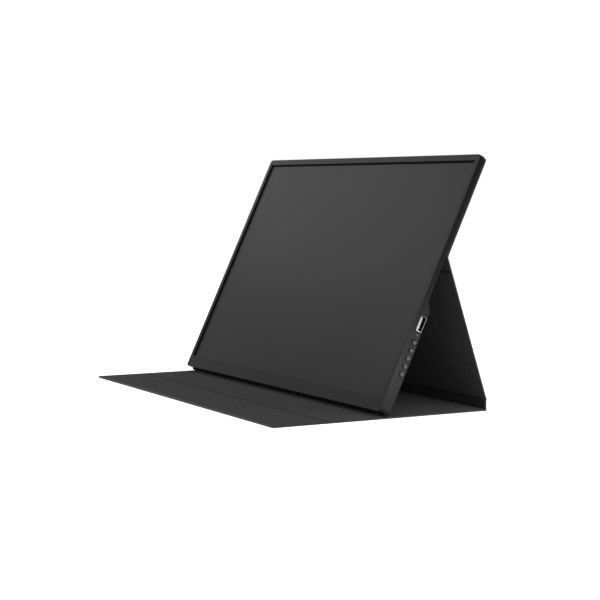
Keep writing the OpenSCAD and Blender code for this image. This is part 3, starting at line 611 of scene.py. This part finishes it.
def crease_section(angle, reach, thick):
    """Side view of a crease: skin side first, then lining side; angle turns panel b to the lining."""
    turn_b = Matrix.Rotation(angle, 3, "X")
    (reach_a, reach_b), (half_a, half_b) = reach, (thick[0] / 2, thick[1] / 2)
    points = []
    for side in (-1, 1):
        half, other = side * half_a, side * half_b
        if angle:
            middle = [(0, (half * math.cos(angle) - other) / math.sin(angle), half)]
        else:
            middle = [(0, -GROOVE_HALF_W, half), (0, 0, half - side * GROOVE), (0, GROOVE_HALF_W, half)]
        row = [Vector((0, -reach_a, half)), *(Vector(p) for p in middle),
               turn_b @ Vector((0, reach_b, other))]
        points += row if side < 0 else row[::-1]
    return points

# %% Crease strips
FOLD_R = 0.55           # rounding of a folded crease's outer corner
GROOVE_R = 0.25         # rounding of a flat crease's groove
INNER_R = 0.2           # rounding of a crease's inner corner
FACES_INWARDS = 0.4     # faces whose normal goes this far towards the lining's side are lining


def round_folds(bm, section, angle):
    """Rounds a crease's corners, but not its ends, where the panels go on."""
    middle = len(section) // 2
    ends = [section[0], section[-1], section[middle - 1], section[middle]]
    at_end = {v for v in bm.verts if any((v.co.yz - p.yz).length < ABOUT for p in ends)}
    folds = [e for e in bm.edges if abs(e.verts[0].co.x - e.verts[1].co.x) > 1 and
             not set(e.verts) & at_end]
    outer = [e for e in folds if e.calc_face_angle_signed() > 0]
    round_edges(bm, outer, FOLD_R if angle else GROOVE_R, 6)
    inner = [e for e in folds if e.is_valid and e not in outer]
    if inner:
        round_edges(bm, inner, INNER_R, 3)


def crease(name, node, place, angle, reach, thick):
    """A strip of skin and lining between the panels on bodies a and b, which stands for a node."""
    half_w = extent(node, place)[1].x + EDGE_R
    section = crease_section(angle, reach, thick)
    bm = bmesh.new()
    face = bm.faces.new([bm.verts.new(p - Vector((half_w, 0, 0))) for p in section])
    extrude(bm, face, (2 * half_w, 0, 0))
    bmesh.ops.recalc_face_normals(bm, faces=bm.faces)
    round_folds(bm, section, angle)
    rim = half_w - RIM_W
    for x in (-rim, rim):
        cut_by_plane(bm, (x, 0, 0), (1, 0, 0))
    map_surface(bm)
    # Faces on the lining's side take the second finish, the darker weave: painted shade in the crease's groove and
    # fold
    for face in bm.faces:
        centre = face.calc_center_median()
        turned = angle * min(1, max(0, centre.y / reach[1] / 2 + 0.5))
        inwards = Matrix.Rotation(turned, 3, "X") @ Vector((0, 0, 1))
        face.material_index = int(face.normal.dot(inwards) > FACES_INWARDS and abs(centre.x) < rim)
    strip = piece(name, bm, place, [skin_leather, weave_painted_shade], None, [node])
    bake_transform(strip)

# %% The four creases
panel_t = 2 * extent("floor_skin", on_floor)[1].z
upper_t = 2 * extent("upper_skin", on_upper)[1].z
flap_start = -extent("flap_skin", on_floor)[1].y
panel_start = extent("floor_skin", on_floor)[0].y
upper_start = extent("upper_skin", on_upper)[0].y
print("panels start", round(panel_start, 2), "mm from a crease's middle")
crease("crease_flap", "flap_crease", on_floor, 0, (flap_start, panel_start),
       (panel_t, panel_t))
crease("crease_spine", "spine_crease", tilted(pins["spine_fold"], 0),
       math.pi / 2, (panel_start, panel_start), (panel_t, panel_t))
crease("crease_prop", "prop_crease", tilted(pins["prop_recline"], math.pi / 2),
       prop_rise - math.pi / 2, (panel_start, panel_start), (panel_t, panel_t))
crease("crease_fold", "fold_crease", tilted(pins["screen_tilt"], prop_rise),
       lean - prop_rise, (panel_start, upper_start), (panel_t, upper_t))

# %% [markdown]
# ## Bezel and rear housing
# Both are moulded shells with hooks, posts and port holes that the model already has. What the model
# leaves out is the small radius that every moulded edge has, and it is what catches the light. So a
# copy of each is cleaned up and only its outer edges are rounded.

# %% Find the outer edges
bezel_t = -extent("lcd_cell", on_monitor)[1].z
half_width, top_y, _ = extent("rear_housing", on_monitor)[1]
HOLD_GAP = 0.3          # gap between the housing's thin back and the cover that is held to it
thin_t = -extent("upper_skin", on_monitor)[1].z - HOLD_GAP
CORNER_R = 3.0          # corner radius of the monitor's front outline
SHOULDER_TOP = 84.4     # height up the slope at which the shoulder's curve ends
ON_LINE = 0.01          # how far an edge's ends may be off its line
print("bezel", round(bezel_t, 2), "mm, thin part", round(thin_t, 2), "mm thick")


def on_outline(point):
    """Whether a point is on the monitor's outline, its round corners included."""
    inside = CORNER_R + ON_LINE
    return abs(point.x) > half_width - inside or point.y > top_y - inside or point.y < inside


def on_front(a, b, e):
    """A test for the edges round the front face and round the screen's opening."""
    return abs(a.z) < ON_LINE and abs(b.z) < ON_LINE


def on_seam(a, b, e):
    """A test for the outer edges on the seam between bezel and housing."""
    return all(abs(p.z + bezel_t) < ON_LINE and on_outline(p) for p in (a, b))


def on_thin_back(a, b, e):
    """A test for the edges round the thin part's back, down to the shoulder, where an upright wall
    meets a face that looks backwards."""
    sides = sorted(abs(f.normal.z) for f in e.link_faces)
    return min(a.y, b.y) > SHOULDER_TOP and sides[0] < 0.02 and sides[1] > 0.1 and all(
        p.z < ON_LINE - thin_t and on_outline(p) for p in (a, b))

# %% Round the moulded edges
FRONT_R, SEAM_R, BACK_R = 0.3, 0.12, 0.45       # what the mould leaves on each edge, mm
FLAT = math.radians(0.5)        # faces that turn less than this are one flat face


def rounded_copy(name, finish, rounds):
    """A copy of a hard part; rounds is a list of a test for an edge and the radius it gets."""
    bm = bmesh.new()
    bm.from_mesh(nodes[name].data)
    bmesh.ops.remove_doubles(bm, verts=bm.verts, dist=NEAR)
    bm.transform(on_monitor.inverted())
    bmesh.ops.dissolve_limit(bm, angle_limit=FLAT, verts=bm.verts, edges=bm.edges)
    for test, radius in rounds:
        edges = [e for e in bm.edges if len(e.link_faces) == 2 and e.calc_face_angle_signed() > 1
                 and test(*(v.co for v in e.verts), e)]
        print(name, "rounds", len(edges), "edges to", radius, "mm")
        round_edges(bm, edges, radius, 3)
    piece(name + "_shell", bm, on_monitor, [finish], "monitor", [name])


rounded_copy("front_bezel", abs_bezel, [(on_front, FRONT_R), (on_seam, SEAM_R)])
rounded_copy("rear_housing", abs_housing,
             [(on_seam, SEAM_R), (on_thin_back, BACK_R)])

# %% [markdown]
# ## Large port
# Looking into the port, the eye meets a bright rim of stamped steel with soft corners, a grey tongue
# towards the screen with four gold contacts on its back, and springs that bulge in from the long sides.
# The shell is a rounded board whose mouth is inset and pushed in, and each spring is a strip of the
# sheet with a hump. The pushed-in inner walls of the shell are painted near black: painted shade, for
# the dark depth of the port.

# %% The port's own frame
usb_low, usb_high = extent("usb_a_shell", on_monitor)
port_middle = (usb_low + usb_high) / 2
port_w, port_h = usb_high.y - usb_low.y, usb_high.z - usb_low.z
port_l = usb_high.x - usb_low.x
# In the port's frame x runs up the slope, y to the front and z out of the wall
on_port = on_monitor @ Matrix.Translation((half_width, port_middle.y, port_middle.z)) @ Matrix((
    (0, 0, 1, 0), (1, 0, 0, 0), (0, 1, 0, 0), (0, 0, 0, 1)))
print("the port is", round(port_w, 1), "x", round(port_h, 1), "mm and", round(port_l, 1), "mm deep")


STRIP_T = 0.15          # thickness of springs and contacts
HUMP = 0.35             # how far their middle bulges


def strip_with_hump(bm, at, width, length, turn):
    """A strip of sheet that runs inwards from at, with a hump in its middle; returns its faces."""
    verts = bmesh.ops.create_grid(bm, x_segments=1, y_segments=8, size=0.5)["verts"]
    for v in verts:
        v.co.z = HUMP * math.sin((v.co.y + 0.5) * math.pi) ** 2
    bmesh.ops.scale(bm, vec=(width, length, 1), verts=verts)
    faces = list({f for v in verts for f in v.link_faces})
    made = bmesh.ops.solidify(bm, geom=faces, thickness=STRIP_T)["geom"]
    both = list({*verts, *only_verts(made)})
    bmesh.ops.transform(bm, matrix=Matrix.Translation(at) @ turn, verts=both)
    return {f for v in both for f in v.link_faces}

# %% Port shell and springs
PORT_FACE = 0.1         # how far the rim lies inside the wall
PORT_R = 0.7            # corner radius of the shell
SHEET_T = 0.3           # thickness of the port's steel
SHEET_R = 0.1           # rounding of the rim
SPRING_X = 2.9          # distance of a spring from the port's middle
SPRING_DEPTH = 4.2      # how far behind the rim a spring's middle lies
SPRING_SIZE = (1.6, 5.0)        # width and length


def outermost(face):
    """How far out of the wall a face lies; of faces that lie alike, the largest comes first."""
    return face.calc_center_median().z * 100 + face.calc_area()


bm = bmesh.new()
slab(bm, Vector((-port_w / 2, -port_h / 2, -PORT_FACE - port_l)),
     Vector((port_w / 2, port_h / 2, -PORT_FACE)), PORT_R, ("low", "high"))
round_edges(bm, list(max(bm.faces, key=outermost).edges), SHEET_R, 2)
mouth = max(bm.faces, key=outermost)
bmesh.ops.inset_region(bm, faces=[mouth], thickness=SHEET_T - SHEET_R, use_even_offset=True)
pushed_in = extrude(bm, mouth, (0, 0, SHEET_T - port_l), closed=True)
# The pushed-in inner walls take the second finish, near black: painted shade for the port's depth
for face in {f for v in pushed_in for f in v.link_faces}:
    face.material_index = 1
inner_h = port_h / 2 - SHEET_T
for x in (-SPRING_X, SPRING_X):
    for side in (-1, 1):
        strip_with_hump(bm, Vector((x, side * inner_h, -PORT_FACE - SPRING_DEPTH)), *SPRING_SIZE,
                        Matrix.Rotation(math.pi / 2 * side, 4, "X"))
piece("usb_a_shell_stamped", bm, on_port, [port_steel, shell_inside_painted_shade], "monitor",
      ["usb_a_shell"])

# %% Port tongue and contacts
ROOT = 3.0              # depth of the block that carries the tongue
SUNK = 0.01             # how deep in that block the tongue starts
TIP = 1.0               # how far behind the rim the tongue's tip lies
TIP_R = 0.25            # rounding of the tip
BLADE_HALF_T = 0.875    # half the tongue's thickness
BLADE_GAP = 0.6         # gap between the tongue and the shell's short sides
FRONT_GAP = 0.5         # gap between the tongue and the shell's side towards the screen
CONTACT_X = (-3.5, -1.0, 1.0, 3.5)
CONTACT_DEPTH = 4.6     # how far behind the rim a contact's middle lies
CONTACT_SIZE = (1.0, 6.0)       # width and length
tongue_low, tongue_high = extent("usb_a_tongue", on_port)
half_blade = port_w / 2 - SHEET_T - BLADE_GAP
blade_y = inner_h - FRONT_GAP - BLADE_HALF_T
bm = bmesh.new()
slab(bm, Vector((-half_blade, blade_y - BLADE_HALF_T, tongue_low.z + ROOT - SUNK)),
     Vector((half_blade, blade_y + BLADE_HALF_T, -PORT_FACE - TIP)))
tip = [e for e in bm.edges if min(v.co.z for v in e.verts) > -PORT_FACE - TIP - ON_LINE]
round_edges(bm, tip, TIP_R, 2)
slab(bm, tongue_low, Vector((tongue_high.x, tongue_high.y, tongue_low.z + ROOT)))
for x in CONTACT_X:
    contact = strip_with_hump(bm, Vector((x, blade_y - BLADE_HALF_T, -PORT_FACE - CONTACT_DEPTH)),
                              *CONTACT_SIZE, Matrix.Rotation(math.pi / 2, 4, "X"))
    for face in contact:
        face.material_index = 1
piece("usb_a_tongue_moulded", bm, on_port, [port_plastic, contact_gold], "monitor",
      ["usb_a_tongue"])

# %% [markdown]
# ## Camera
# The object stands turned to the left, seen from a little above the table and from a good distance,
# so its edges run almost parallel. A long lens from far away gives that.

# %% Place the camera
CAMERA_AT = Vector((1.2055, -0.6283, 0.1780))
LENS_MM = 95.6
CAMERA_YAW, CAMERA_PITCH, CAMERA_ROLL = (math.radians(a) for a in (-61.619, -4.124, -0.016))
camera_data = bpy.data.cameras.new("camera")
camera_data.sensor_width = 36
camera_data.lens = LENS_MM
camera = new_object("camera", camera_data)
ahead = Vector((math.sin(CAMERA_YAW) * math.cos(CAMERA_PITCH),
                math.cos(CAMERA_YAW) * math.cos(CAMERA_PITCH), math.sin(CAMERA_PITCH)))
turn = ahead.to_track_quat("-Z", "Y").to_matrix().to_4x4()
camera.matrix_world = Matrix.Translation(CAMERA_AT) @ turn @ Matrix.Rotation(CAMERA_ROLL, 4, "Z")
bpy.context.scene.camera = camera
bpy.context.scene.view_settings.view_transform = "Standard"
print("the camera stands", round(CAMERA_AT.length, 2), "m away, with a lens of", LENS_MM, "mm")

# %% [markdown]
# ## Light and floor
# A pale studio. A little soft light comes from all round. The main lamp is a large softbox high on
# the right, a second one stands in front on the left, two weaker ones give the screen its slow fade
# from the left, and one behind lights the cover's back. Two small low lamps on the right reach the
# monitor's side wall and the space under it. The background is white for the camera and for anything
# that mirrors it, while the light that falls on the object stays plain: a black thing on white paper
# shows its shape by what it reflects. The floor keeps the object's soft shadow.

# %% World
SOFT_LIGHT = 0.28       # strength of the light from all round
WHITE = (1, 1, 1, 1)
world = bpy.data.worlds.new("studio")
bpy.context.scene.world = world
world.use_nodes = True
tree = world.node_tree
tree.nodes.clear()


def seen_directly(tree):
    """A socket that is 1 for what the camera sees, also in a mirror, and one that is 1 through glass."""
    path = add(tree, "LightPath").outputs
    return add(tree, "Math", links={0: path["Is Camera Ray"], 1: path["Is Glossy Ray"]},
               operation="MAXIMUM").outputs[0], path["Is Transmission Ray"]


seen, through = seen_directly(tree)
seen_at_all = add(tree, "Math", links={0: seen, 1: through}, operation="MAXIMUM")
soft = add(tree, "Background", {"Color": WHITE, "Strength": SOFT_LIGHT})
white = add(tree, "Background", {"Color": WHITE, "Strength": 1.0})
both = add(tree, "MixShader", links={0: seen_at_all.outputs[0], 1: soft.outputs[0], 2: white.outputs[0]})
add(tree, "OutputWorld", links={"Surface": both.outputs[0]})
print("soft light from all round:", SOFT_LIGHT)

# %% Lamps
def softbox(name, at, size, power, aim=(0, 0.03, 0.08), spread_deg=180):
    """A square area lamp at a point in metres, turned to aim; spread is how wide its grid lets it shine."""
    data = bpy.data.lights.new(name, "AREA")
    data.shape = "SQUARE"
    data.size, data.energy, data.spread = size, power, math.radians(spread_deg)
    lamp = new_object(name, data)
    lamp.visible_camera = False
    turn = (Vector(aim) - Vector(at)).to_track_quat("-Z", "Y").to_matrix().to_4x4()
    lamp.matrix_world = Matrix.Translation(at) @ turn
    print(name, "shines with", power, "W")


UNDER_PROP = (0.12, 0.07, 0.03)
softbox("lamp_right", (0.9, 0.05, 1.0), 0.7, 4.7)
softbox("lamp_front", (-0.45, -0.75, 0.55), 0.4, 3.9)
softbox("lamp_key", (-0.75, -0.55, 0.75), 0.5, 1.25)
softbox("lamp_left", (-1.05, -0.22, 0.62), 0.45, 0.8)
softbox("lamp_behind", (-0.5, 0.9, 0.8), 0.6, 2.0)
softbox("lamp_low", (0.65, -0.05, 0.04), 0.12, 0.78)
softbox("lamp_wall", (0.33, 0.09, 0.02), 0.06, 0.19, UNDER_PROP, 120)

# %% Floor
FLOOR_HALF = 6          # half the floor's side, m
FLOOR_GLOW = 0.82       # makes the paper white for the camera
bm = bmesh.new()
bmesh.ops.create_grid(bm, x_segments=1, y_segments=1, size=FLOOR_HALF)
floor_mesh = bpy.data.meshes.new("studio_floor")
bm.to_mesh(floor_mesh)
bm.free()
studio_floor = new_object("studio_floor", floor_mesh)
floor_paper, tree, shader = new_finish(
    "studio_floor_paper", Base_Color=linear("f2f2f2"), Roughness=0.9, Specular_IOR_Level=0.1,
    Emission_Color=WHITE)
seen, _ = seen_directly(tree)
add(tree, "Math", {1: FLOOR_GLOW}, {0: seen}, shader.inputs["Emission Strength"],
    operation="MULTIPLY")
floor_mesh.materials.append(floor_paper)
print("the floor is", 2 * FLOOR_HALF, "m wide")

# %% [markdown]
# ## Finishes of the parts that keep their solids
# The other parts are right as they are. Each gets the finish of its material, by name.

# %% Carry the finishes to the model's nodes
FINISH_OF_SLOT = {
    "bezel_plastic": abs_bezel, "housing_plastic": abs_housing, "foot_rubber": foot_rubber,
    "gasket_foam": gasket_foam, "screen_glass": screen_film, "diffuser_film": diffuser_film,
    "clear_acrylic": clear_acrylic, "tray_steel": tray_steel, "circuit_board": solder_mask,
    "chip_epoxy": chip_epoxy, "flat_cable": flat_cable, "port_steel": port_steel,
    "port_plastic_light": port_plastic, "port_plastic_dark": dark_plastic,
    "button_plastic": button_cap_painted_shade, "light_pipe": light_pipe, "screw_steel": screw_steel,
    "magnet": magnet_nickel, "cover_skin": skin_leather, "cover_board": grey_board,
    "cover_lining": lining_weave,
}
for part in frame["record"]["subparts"]:
    mesh = nodes[part["node"]].data
    mesh.materials.clear()
    mesh.materials.append(FINISH_OF_SLOT[part["material_slot"]])
